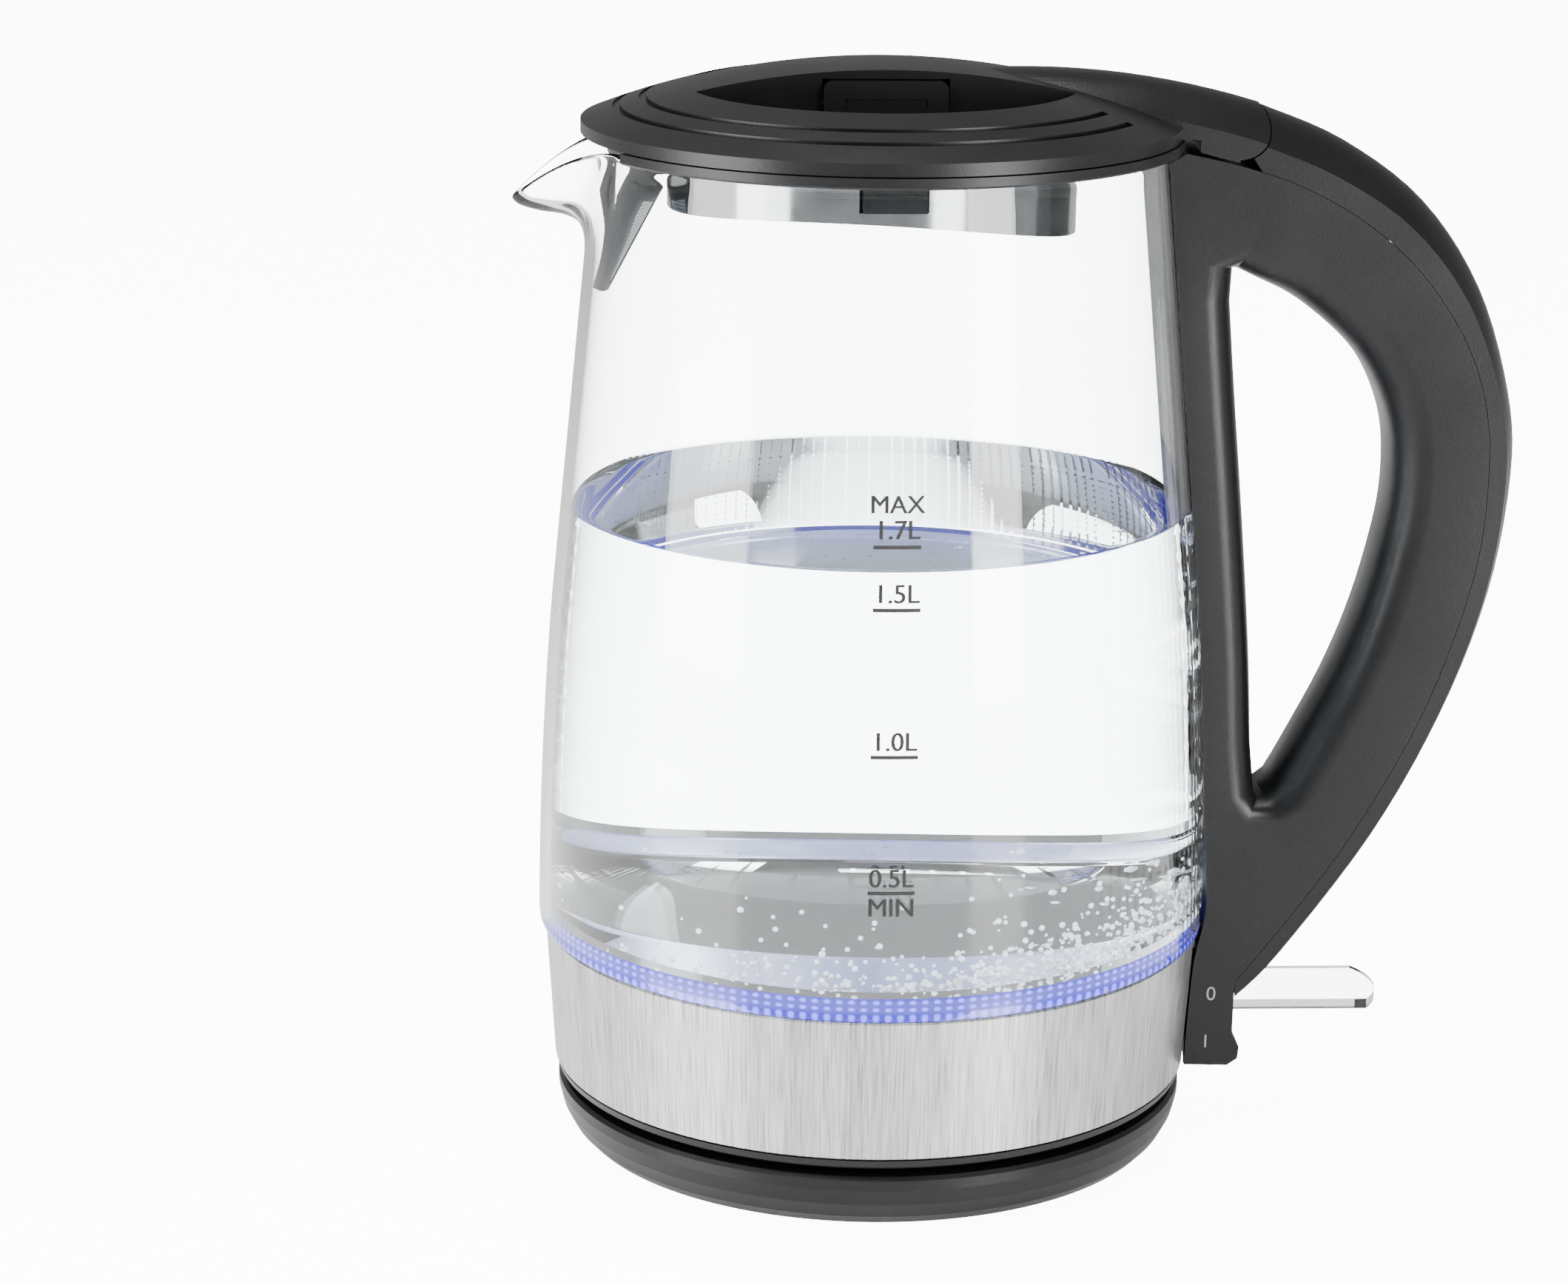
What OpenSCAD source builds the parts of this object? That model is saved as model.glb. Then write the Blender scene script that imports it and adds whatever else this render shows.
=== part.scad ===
// Cordless glass kettle on a round power base.
// Z runs up the jug's axis, the spout points to -X and the handle to +X.
// The origin is the centre of the underside, where the feet stand on the table.

/* [Jug] */
// Outer radius of the glass near its foot
glass_foot_r = 76.1; // [75.6:0.1:76.6]
// Height where the glass stands on the steel band
glass_foot_z = 49.9; // [49.6:0.1:50.2]
// Height of the glass rim
glass_rim_z = 227.6; // [227:0.1:227.8]
// Thickness of the glass
glass_wall = 2.5; // [2:0.1:3]
// Outer radius of the steel band at its upper edge
band_top_r = 74.6; // [74.2:0.1:75]
// Outer radius of the steel band at its lower edge
band_bottom_r = 72.6; // [72:0.1:73]

/* [Lid] */
// Radius of the sphere that the lid's dome is part of
dome_r = 178; // [170:1:190]
// Height of the dome's highest point
dome_top_z = 245.3; // [245:0.1:246]
// Outer radius of the lid
lid_r = 66; // [65.6:0.1:66.2]
// Outer radius of the polished skirt under the lid
skirt_r = 45; // [44:0.1:45.5]
// Half the width of the raised spine between the two finger wells
spine_half = 13; // [12.6:0.1:13.4]

/* [Handle] */
// Half the width of the handle and of its column
handle_half = 13.4; // [13:0.1:14]
// Distance of the lid's hinge axis from the jug's axis
hinge_x = 77.3; // [77:0.1:77.6]
// Height of the lid's hinge axis
hinge_z = 232.4; // [232:0.1:232.8]
// Radius of the barrel at the end of the lid
barrel_r = 6.8; // [6.4:0.1:7]

/* [Switch] */
// Distance of the switch lever's axis from the jug's axis
switch_x = 78.4; // [78.2:0.1:78.6]
// Height of the switch lever's axis
switch_z = 30.4; // [30:0.1:30.8]
// Half the width of the switch lever
lever_half = 11.3; // [10:0.1:11.4]

/* [Base] */
// Outer radius of the power base at its upper edge
base_top_r = 71.8; // [71:0.1:72.4]
// Outer radius of the power base at the table
base_foot_r = 67.2; // [66:0.1:68]

/* [Hidden] */
$fn = 96;
e = 0.01;

glass_straight_z = 125;
glass_bulge = 0.000516;
glass_slope = 0.0975;
mouth_r = 50.5;
collar_r = 66.3;
collar_z = 229.6;
pin_r = 1.5;
run_fit = 0.06;
fit_gap = 0.3;

// Outer radius of the glass at a height: a gently bulged foot under a straight cone
function glass_r(z) = z < glass_straight_z
    ? glass_foot_r - glass_bulge * pow(z - 45, 2)
    : glass_r(glass_straight_z - e) - glass_slope * (z - glass_straight_z);

// Points (radius, height) up the glass, moved outwards by d
function glass_line(z0, z1, d, n = 18) =
    [for (i = [0:n]) let (z = z0 + (z1 - z0) * i / n) [glass_r(z) + d, z]];

// A smooth curve through hand-set points, n steps between each pair
function spline_point(a, b, c, d, t) =
    0.5 * (2 * b + (c - a) * t + (2 * a - 5 * b + 4 * c - d) * t * t + (3 * b - a - 3 * c + d) * t * t * t);
function smooth(p, n = 4) = [
    for (i = [0:len(p) - 2]) for (k = [0:n - 1])
        spline_point(p[max(i - 1, 0)], p[i], p[i + 1], p[min(i + 2, len(p) - 1)], k / n),
    p[len(p) - 1]
];

// A curve moved sideways by d, to the right of its direction
function shifted(p, d) = [
    for (i = [0:len(p) - 1])
        let (a = p[max(i - 1, 0)], b = p[min(i + 1, len(p) - 1)], t = (b - a) / norm(b - a))
        p[i] + d * [t[1], -t[0]]
];
function reversed(p) = [for (i = [len(p) - 1:-1:0]) p[i]];

// The handle's side outlines, in the plane of symmetry, from the hinge down to the foot
outer_line = smooth([[83, 236], [102, 228.2], [120, 215], [133.2, 196], [140.8, 173], [142.4, 154],
    [138.6, 127], [129, 98.8], [114.4, 70.2], [94.4, 42], [84, 32]]);
seam_line = smooth([[66, 226.9], [79, 223.9], [92, 219.4], [106, 211.5], [118, 201], [128, 187],
    [133.5, 173], [135.4, 157], [133.4, 132.5], [123.6, 101], [109.4, 73.4], [96.8, 54.4], [84, 37.6]]);
window_line = smooth([[78.2, 200.2], [81.4, 199.2], [90, 195], [99, 188.2], [106, 181.2], [111, 172.5],
    [114, 162], [114.2, 148], [111.6, 133.6], [107.8, 119.8], [102.4, 105.8], [95.5, 91.8], [90.4, 82]]);
window_bottom = [[88.6, 79.8], [87.2, 79.6], [86.4, 81.2]];
column_rear = [[86.2, 84.6], [84.2, 112.7], [82.5, 133.6], [80.6, 154.2], [78.6, 174.6], [76.9, 194],
    [76.7, 199]];
// Where the column's flat side turns into its bevel
column_ridge = [[78.6, 16.6], [80.6, 34], [81.2, 52], [79.8, 67.6], [77.6, 100], [75, 135], [70.7, 181.7],
    [69, 200], [68, 226.4]];

// Turns an outline of (x, z) points into a slab centred on the plane of symmetry
module slab(half) {
    rotate([90, 0, 0])
        translate([0, 0, -half])
            linear_extrude(2 * half)
                children();
}

// A plain washer or tube
module tube(outer, inner, z0, z1) {
    translate([0, 0, z0])
        difference() {
            cylinder(r = outer, h = z1 - z0);
            translate([0, 0, -1]) cylinder(r = inner, h = z1 - z0 + 2);
        }
}

// A cross-recessed screw with its head down at z = 0
module screw(r_head, h_head, r_shank, length) {
    difference() {
        union() {
            cylinder(r = r_head, h = h_head, $fn = 32);
            cylinder(r = r_shank, h = h_head + length, $fn = 24);
        }
        for (a = [0, 90])
            rotate([0, 0, a])
                translate([-r_head * 0.6, -0.35, -e]) cube([r_head * 1.2, 0.7, h_head * 0.6]);
    }
}

// ---- Power base ----

module base_shell() {
    color("#1b1b1c")
        difference() {
            rotate_extrude()
                polygon([[base_foot_r - 0.2, 0.8], [base_foot_r + 1.9, 3], [base_top_r - 0.9, 6.4],
                    [base_top_r, 10], [base_top_r, 12.3], [base_top_r - 0.8, 13.1], [63, 13.1], [60, 14.7],
                    [30, 14.7], [27, 12], [13, 12], [13, 9.8], [29, 9.8], [31.5, 12.5], [58.6, 12.5],
                    [61.6, 10.9], [base_top_r - 3, 10.9], [base_top_r - 3.2, 6.8], [base_foot_r - 0.6, 3.2],
                    [base_foot_r - 1.6, 2.2], [base_foot_r - 1.6, 0.8]]);
            // Notch for the cord's gland
            translate([-4, 60, 0]) cube([8, 14, 6.4]);
        }
}

module base_bottom() {
    color("#1b1b1c")
        difference() {
            union() {
                translate([0, 0, 0.8]) cylinder(r = base_foot_r - 1.9, h = 1.6);
                for (a = [30:120:270])
                    rotate([0, 0, a]) translate([50, 0, 2.3]) cylinder(r = 3.4, h = 10);
                tube(14.8, 12.8, 2.3, 9.6);
            }
            for (a = [30:120:270])
                rotate([0, 0, a]) {
                    translate([50, 0, -1]) cylinder(r = 2.6, h = 3);
                    translate([50, 0, 0]) cylinder(r = 1.3, h = 11);
                }
            // Seats of the rubber feet
            for (a = [45:90:315])
                rotate([0, 0, a]) translate([56, 0, 0]) cylinder(r = 5.05, h = 1.5);
            translate([-4, 60, 0]) cube([8, 14, 6]);
        }
}

module base_feet() {
    color("#303032")
        for (a = [45:90:315])
            rotate([0, 0, a]) translate([56, 0, 0]) cylinder(r = 5, h = 1.5, $fn = 48);
}

module base_screws() {
    color("#b9bcc0")
        for (a = [30:120:270])
            rotate([0, 0, a]) translate([50, 0, 1.2]) screw(2.4, 0.8, 1.28, 8);
}

module base_connector() {
    color("#141415")
        union() {
            translate([0, 0, 5]) cylinder(r = 12.6, h = 6.6);
            tube(9.2, 7.4, 11.5, 25.5);
            tube(4.2, 2.4, 11.5, 24.5);
        }
}

module base_contact_rings() {
    color("#b78a4a") {
        tube(9.6, 9.2 + e, 14, 17);
        tube(9.6, 9.2 + e, 20, 23);
        translate([0, 0, 11.7]) cylinder(r = 2, h = 12, $fn = 32);
    }
}

module base_leads() {
    sleeves = ["#6b4326", "#2f5fa8", "#5f8a2e"];
    for (i = [-1:1])
        color(sleeves[i + 1])
            translate([i * 2.6, 14.9, 6.4 + abs(i) * 0.2])
                rotate([-90, 0, 0]) cylinder(r = 1.1, h = 44, $fn = 24);
}

module cord_gland() {
    color("#202022")
        difference() {
            translate([-3.9, 60.2, 2.5]) cube([7.8, 8, 3.8]);
            translate([0, 59, 4.4]) rotate([-90, 0, 0]) cylinder(r = 1.6, h = 12, $fn = 32);
        }
}

// ---- Jug ----

// The beak of the spout: o thins it on every side, rise lifts its upper edge
module beak(o, rise = 0) {
    hull() {
        translate([-58 + o, 0, 208 + o]) sphere(r = 4, $fn = 24);
        translate([-76.4 + o, 0, 214.2 + o]) sphere(r = 2.6, $fn = 24);
        translate([-78.8 + o, 0, 216.7 + rise]) sphere(r = 2.2, $fn = 24);
        for (s = [-1, 1]) {
            translate([-52, s * (24 - o), 224 + rise]) sphere(r = 4, $fn = 24);
            translate([-66 + o, s * (13 - o), 223.5 + rise]) sphere(r = 2.6, $fn = 24);
        }
    }
}

module glass_jug() {
    color("#dfe9ee", 0.35)
        difference() {
            union() {
                rotate_extrude()
                    polygon(concat(
                        [[50, glass_foot_z + 1], [glass_r(50) - 1.6, glass_foot_z]],
                        [[glass_r(50) - 0.4, glass_foot_z + 0.7]],
                        glass_line(glass_foot_z + 2.2, glass_rim_z, 0),
                        [[50, glass_rim_z]]));
                intersection() {
                    beak(0);
                    translate([-100, -50, 190]) cube([60, 100, glass_rim_z - 190]);
                }
            }
            rotate_extrude()
                polygon(concat(
                    [[0, 40], [glass_r(50) - glass_wall, 40]],
                    glass_line(glass_foot_z, glass_rim_z + 1, -glass_wall),
                    [[0, glass_rim_z + 1]]));
            beak(2.2, 4);
        }
}

module steel_band() {
    wall = 0.8;
    z0 = 17.5;
    z1 = glass_foot_z - 0.3;
    color("#c9cbcc")
        difference() {
            rotate_extrude()
                polygon([[band_bottom_r - 2, z0], [band_bottom_r - 0.3, z0], [band_bottom_r, z0 + 0.3],
                    [band_top_r, z1 - 0.4], [band_top_r - 0.4, z1], [band_top_r - wall - 0.6, z1],
                    [band_bottom_r - wall, z0 + 0.8], [band_bottom_r - 2, z0 + 0.8]]);
            // Opening behind the handle's foot for the switch
            translate([66, -9, 24]) cube([12, 18, 15]);
            column_screw_places() column_screw_bore(1.6);
        }
}

module jug_bottom() {
    color("#1a1a1b")
        difference() {
            union() {
                rotate_extrude()
                    polygon([[14.4, 15.1], [71.2, 15.1], [72, 15.7], [band_bottom_r - 0.1, 17.3],
                        [band_bottom_r - 2.4, 17.3], [band_bottom_r - 2.4, 22], [band_bottom_r - 4, 22],
                        [band_bottom_r - 4, 17.3], [14.4, 17.3]]);
                for (a = [90:120:330])
                    rotate([0, 0, a]) translate([56, 0, 17]) cylinder(r = 3.6, h = 20);
            }
            for (a = [90:120:330])
                rotate([0, 0, a]) {
                    translate([56, 0, 14]) cylinder(r = 2.7, h = 2.7);
                    translate([56, 0, 14]) cylinder(r = 1.4, h = 30);
                }
            translate([64, -9, 24]) cube([12, 18, 18]);
        }
}

module jug_bottom_screws() {
    color("#b9bcc0")
        for (a = [90:120:330])
            rotate([0, 0, a]) translate([56, 0, 15.6]) screw(2.5, 1, 1.38, 24);
}

module jug_socket() {
    color("#202021")
        difference() {
            translate([0, 0, 15.1]) cylinder(r = 14.2, h = 14.4);
            translate([0, 0, 14]) cylinder(r = 11.2, h = 12.6);
        }
}

module socket_contacts() {
    color("#b78a4a")
        for (z = [15.4, 20.9])
            for (a = [0, 180])
                rotate([0, 0, a]) translate([9.9, -2, z]) cube([1, 4, 1.8]);
}

module chassis_ring() {
    color("#2a2a2b")
        difference() {
            rotate_extrude()
                polygon([[50, 40.2], [72.4, 40.2], [72.6, 45.6], [70, 45.6], [69, 42.2], [50, 42.2]]);
            for (a = [90:120:330])
                rotate([0, 0, a]) translate([56, 0, 30]) cylinder(r = 1.4, h = 20);
            translate([66, -9, 30]) cube([12, 18, 12]);
            column_screw_places() column_screw_bore(1.5);
        }
}

module heating_plate() {
    color("#b4b6b8")
        rotate_extrude()
            polygon([[0, 49.2], [66, 49.2], [67.2, 49.8], [67.8, 51], [67.8, 54.6], [69.1, 54.6], [69.1, 50.4],
                [68.6, 49], [66.8, 48.2], [0, 48.2]]);
}

module heat_spreader() {
    color("#a9abad")
        tube(50, 8, 45.6, 48.1);
}

module heating_element() {
    tube_r = 3.4;
    loop_r = 38;
    color("#8d9092")
        translate([0, 0, 42.1]) {
            rotate([0, 0, 20])
                rotate_extrude(angle = 320)
                    translate([loop_r, 0]) circle(r = tube_r, $fn = 32);
            // Cold pins
            for (a = [20, 340])
                rotate([0, 0, a]) translate([loop_r, 0, -9]) cylinder(r = 1.4, h = 9, $fn = 24);
        }
}

module plate_gasket() {
    color("#dfe6f2")
        rotate_extrude()
            polygon([[69.2, 50.6], [73.2, 50.2], [73.4, 54.4], [72.8, 54.9], [69.2, 54.9]]);
}

module light_ring() {
    color("#bcd0ff")
        tube(72.8, 69.8, 46.2, 49.6);
}

module led_board() {
    color("#1f5a3a")
        difference() {
            tube(68.6, 62, 42.4, 43.6);
            // Gap beside the column's screws
            translate([58, -12, 42]) cube([14, 24, 3]);
        }
}

module leds() {
    color("#9bb8ff")
        for (a = [15:30:345])
            rotate([0, 0, a]) translate([65.2, -1.8, 43.7]) cube([2.8, 3.6, 1.5]);
}

module control_box() {
    color("#ddd6c6")
        difference() {
            union() {
                translate([-17, -13, 29.6]) cube([34, 26, 7]);
                for (s = [-1, 1])
                    translate([s * 20, 0, 29.6]) cylinder(r = 8, h = 11, $fn = 48);
            }
            for (s = [-1, 1])
                translate([s * 20, 0, 38.6]) cylinder(r = 6.8, h = 3, $fn = 48);
        }
}

module bimetal_discs() {
    color("#c8a96a")
        for (s = [-1, 1])
            translate([s * 20, 0, 0]) tube(6.5, 1, 39.2, 39.8);
}

module jug_wiring() {
    color("#d9d2c0")
        for (s = [-1, 1])
            translate([18, s * 5, 27.6]) {
                rotate([0, 90, 0]) cylinder(r = 1.2, h = 38, $fn = 24);
            }
}

module collar() {
    color("#19191a")
        union() {
            difference() {
                rotate_extrude()
                    polygon([[mouth_r, 228.3], [63.6, 228.3], [63.6, 227.2], [65.8, 227.2], [collar_r, 227.7],
                        [collar_r, collar_z], [mouth_r, collar_z]]);
                // The outer band is open at the spout
                rotate([0, 0, 150])
                    rotate_extrude(angle = 60)
                        translate([61, 220]) square([10, 20]);
            }
            // Thin lip that crosses the spout
            rotate([0, 0, 148])
                rotate_extrude(angle = 64)
                    polygon([[58, 226.3], [60.1, 225.6], [60.1, 229], [58, 229]]);
        }
}

module collar_seal() {
    color("#d8d8d6")
        difference() {
            tube(62.5, 60.4, glass_rim_z + e, 228.25);
            translate([-80, -34, 220]) cube([40, 68, 20]);
        }
}

// Cylinder wall whose axis leans with the filter, r0 to r1 over a height
module filter_arc(r0, r1, h0, h1, half_angle) {
    translate([-60.3, 0, 195.2])
        rotate([0, 28, 0])
            translate([-22, 0, 0])
                rotate([0, 0, -half_angle])
                    rotate_extrude(angle = 2 * half_angle)
                        translate([r0, h0]) square([r1 - r0, h1 - h0]);
}

// Front outline of the filter, edge inside it
module filter_taper(edge) {
    low = 7 - edge;
    high = 15 - edge;
    translate([-80, 0, 0])
        rotate([90, 0, 90])
            linear_extrude(60)
                polygon([[-low, 193], [low, 193], [high, 213], [high, 222], [-high, 222], [-high, 213]]);
}

// The two sides of the bar that divides the filter
module filter_halves() {
    for (y = [0.6, -40.6])
        translate([-90, y, 180]) cube([80, 40, 60]);
}

module filter_frame() {
    color("#3a3b3d")
        intersection() {
            difference() {
                filter_arc(21, 22.6, 0, 25.6, 60);
                intersection() {
                    filter_arc(20, 24, 2, 22.4, 60);
                    filter_taper(2.4);
                    filter_halves();
                }
            }
            filter_taper(0);
        }
}

module filter_mesh() {
    color("#9a9c9e")
        intersection() {
            filter_arc(21.9, 22.2, 2, 22.4, 60);
            filter_taper(2.4);
            filter_halves();
        }
}

// Everything the handle has to stay clear of: glass, band and collar
module jug_envelope() {
    rotate_extrude()
        polygon(concat(
            [[0, 0], [band_bottom_r + fit_gap, 0], [band_bottom_r + fit_gap, 17.5],
                [band_top_r + fit_gap, glass_foot_z - 0.6]],
            glass_line(glass_foot_z, glass_rim_z - 1, fit_gap),
            [[collar_r + fit_gap, 226.7], [collar_r + fit_gap, 240], [0, 240]]));
}

// Side outline of the column, with its rear edge moved forward by cut
module column_outline(cut) {
    polygon(concat(
        [[60, 17], [column_ridge[0][0] + 0.2, 17]],
        [[81.8 - cut, 24], [82.6 - cut, 37], [86 - cut, 60]],
        [for (p = column_rear) [p[0] - cut, p[1]]],
        [[77 - cut, 226.6], [60, 226.6]]));
}

module column_front() {
    polygon(concat([[60, 17]], column_ridge, [[60, 226.4]]));
}

// Side outline of the grip's inner half; edge draws its finger side back
module grip_inner_outline(edge) {
    polygon(concat(
        shifted(seam_line, 0.15),
        [[82.5, 40], [86.3, 72]],
        reversed(shifted(concat(window_line, window_bottom), -edge)),
        [[76.4, 200], [68.4, 222]]));
}

module grip_outer_outline(edge) {
    polygon(concat(
        [for (p = shifted(outer_line, edge)) if (edge < 3 || p[1] > 47) p],
        edge < 3 ? [[83.2, 37.4]] : [],
        reversed([for (p = shifted(seam_line, -0.15)) if (edge < 3 || p[1] > 47) p]),
        [[68.6, 229]]));
}

module hinge_cut(r) {
    translate([hinge_x, -30, hinge_z]) rotate([-90, 0, 0]) cylinder(r = r, h = 60);
}

module handle_inner() {
    color("#1c1c1d")
        difference() {
            union() {
                slab(handle_half) column_front();
                slab(11) column_outline(3.2);
                slab(9) column_outline(1.2);
                slab(6.6) column_outline(0);
                slab(handle_half) grip_inner_outline(5);
                slab(11.6) grip_inner_outline(2.2);
                slab(9) grip_inner_outline(0.7);
                slab(6) grip_inner_outline(0);
                // Guard behind the switch lever
                slab(9) polygon([[78, 15.4], [82.4, 15.9], [84.8, 18], [85, 20.6], [83, 24.2], [78, 24.2]]);
                // Tongue that holds the lid's hinge pin
                slab(4.6) polygon([[75.6, 220], [79, 220], [79, hinge_z], [75.6, hinge_z]]);
                translate([hinge_x, 4.6, hinge_z]) rotate([90, 0, 0]) cylinder(r = 3.3, h = 9.2);
            }
            jug_envelope();
            // Room for the tail of the lid
            difference() {
                translate([60, -20, 0]) hinge_clear_box();
                slab(4.6) translate([75.6, 200]) square([3.4, 60]);
                translate([hinge_x, 4.6, hinge_z]) rotate([90, 0, 0]) cylinder(r = 3.3, h = 9.2);
            }
            // Bore for the hinge pin
            translate([hinge_x, 10, hinge_z]) rotate([90, 0, 0]) cylinder(r = pin_r + 0.01, h = 20, $fn = 48);
            // Duct for steam and wires inside the column
            slab(4.6) polygon([[77.4, 34], [80.4, 34], [83.4, 60], [82, 100], [80.4, 133], [77.2, 170],
                [73.6, 212], [70, 212], [71.2, 190], [75.4, 133], [78.2, 90], [79, 60]]);
            // Hollow of the grip, open towards the outer shell
            slab(9.4) grip_hollow();
            // Room for the switch and its lever
            translate([73, -lever_half - 0.3, 19]) cube([8.6, 2 * lever_half + 0.6, 19]);
            translate([78, -lever_half - 0.3, 24.2]) cube([12, 2 * lever_half + 0.6, 12]);
            column_screw_places() column_screw_bore(1.31);
            // Bore for the switch pin
            translate([switch_x, 12.4, switch_z]) rotate([90, 0, 0])
                cylinder(r = pin_r + 0.01, h = 24.8, $fn = 48);
            // Embossed marks beside the lever: a ring for off, a bar for on
            for (s = [-1, 1]) {
                translate([77.9, s * handle_half, 33.8])
                    rotate([90, 0, 0])
                        difference() {
                            cylinder(r = 1.7, h = 0.5, center = true, $fn = 40);
                            cylinder(r = 1.3, h = 0.6, center = true, $fn = 40);
                        }
                translate([76.6, s * handle_half - 0.25, 20.6]) cube([0.5, 0.5, 3.2]);
            }
        }
}

// Space over the seam that belongs to the lid's tail and the outer shell
module hinge_clear_box() {
    rotate([90, 0, 0])
        translate([-60, 0, -40])
            linear_extrude(40)
                polygon(concat([[60, 250], [60, 226.7]], [[68.2, 226.7]],
                    [for (p = seam_line) if (p[0] > 69 && p[0] < 92 && p[1] > 200) p], [[92, 250]]));
}

module grip_hollow() {
    polygon(concat(
        [for (p = shifted(seam_line, -1)) if (p[0] > 92 && p[1] > 60) p],
        reversed([for (p = shifted(window_line, -3)) if (p[0] > 92 && p[1] > 96) p])));
}

module handle_outer() {
    color("#1c1c1d")
        difference() {
            union() {
                slab(handle_half) grip_outer_outline(4.2);
                slab(11) grip_outer_outline(2.2);
                slab(8) grip_outer_outline(0.8);
                slab(4.5) grip_outer_outline(0);
            }
            hinge_cut(barrel_r + 0.35);
            translate([50, -20, 215]) cube([hinge_x - 50, 40, 40]);
            translate([75, -5, 215]) cube([4.4, 10, 18]);
            // Hollow of the shell, open towards the inner shell
            slab(7.4) polygon(concat(
                [for (p = shifted(outer_line, 3.2)) if (p[0] > 104 && p[1] > 62) p],
                reversed([for (p = shifted(seam_line, 1)) if (p[0] > 104 && p[1] > 62) p])));
            // Room for the switch lever
            translate([78, -lever_half - 0.3, 20]) cube([12, 2 * lever_half + 0.6, 16.2]);
        }
}

// Two screws run outwards through the chassis ring and the band into the column's foot
module column_screw_places() {
    for (y = [-8, 8])
        translate([66.8, y, 44]) rotate([0, 90, 0]) children();
}

module column_screw_bore(r) {
    translate([0, 0, 1.6]) cylinder(r = r, h = 16, $fn = 32);
}

module handle_screws() {
    color("#b9bcc0")
        column_screw_places() screw(1.7, 1.2, 1.3, 10.8);
}

module steam_tube() {
    // Straight silicone tube inside the column's duct
    color("#c9c9c6")
        translate([81.2, 0, 64])
            rotate([0, -3.1, 0])
                difference() {
                    cylinder(r = 1.5, h = 112, $fn = 32);
                    translate([0, 0, -1]) cylinder(r = 1, h = 114, $fn = 32);
                }
}

module steam_switch() {
    // Snap disc in its carrier, beside the lever's hub
    color("#c8a96a")
        translate([74.9, 0, 24.2]) rotate([0, 90, 0]) cylinder(r = 4.4, h = 0.6, $fn = 48);
}

module hinge_pin() {
    color("#c3c6c9")
        translate([hinge_x, 9, hinge_z]) rotate([90, 0, 0]) cylinder(r = pin_r, h = 18, $fn = 48);
}

module switch_pin() {
    color("#c3c6c9")
        translate([switch_x, 12.3, switch_z]) rotate([90, 0, 0]) cylinder(r = pin_r, h = 24.6, $fn = 48);
}

module switch_lever() {
    color("#e6e8e8", 0.5)
        difference() {
            union() {
                translate([switch_x, lever_half, switch_z])
                    rotate([90, 0, 0]) cylinder(r = 2.8, h = 2 * lever_half);
                translate([0, 0, switch_z - 1.3])
                    linear_extrude(2.4)
                        intersection() {
                            translate([switch_x, -lever_half]) square([40, 2 * lever_half]);
                            union() {
                                translate([switch_x, -lever_half]) square([26, 2 * lever_half]);
                                translate([switch_x + 19.1, 0]) circle(r = 20);
                            }
                        }
            }
            translate([switch_x, 20, switch_z])
                rotate([90, 0, 0]) cylinder(r = pin_r + run_fit, h = 40, $fn = 48);
        }
}

// ---- Lid ----

// Solid under the lid's outer surface, o inside it
module dome(o, z0) {
    intersection() {
        translate([0, 0, dome_top_z - dome_r]) sphere(r = dome_r - o, $fn = 180);
        translate([0, 0, z0]) cylinder(r = lid_r - o, h = 30);
    }
}

// Plan of a finger well: a segment of a circle beside the spine, grown by o
module well_plan(o) {
    intersection() {
        translate([0, -1]) circle(r = 42.8 + o);
        translate([-60, -70]) square([120, 70 - spine_half + o]);
    }
}

// Side outline of the tail, down to the liner and the hinge barrel
module tail_outline() {
    intersection() {
        polygon([[22, 231.4], [64, 231.4], [64, 229.9], [68.6, 229.9], [68.6, 227.2], [73, 226], [90, 222],
            [90, 250], [22, 250]]);
        union() {
            translate([20, 220]) square([hinge_x - 20, 30]);
            translate([hinge_x, hinge_z]) circle(r = barrel_r);
        }
    }
}

// Crowned back of the tail: one arc along it and a rounded section across it
module tail_crown() {
    back_r = 178;
    across = [for (i = [-12:12]) let (y = handle_half * i / 12) [back_r - 7 * pow(abs(i) / 12, 2.3), y]];
    translate([31.5, 0, 66])
        rotate([90, 0, 0])
            rotate([0, 0, 60])
                rotate_extrude(angle = 40)
                    polygon(concat([[120, -handle_half]], across, [[120, handle_half]]));
}

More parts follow.
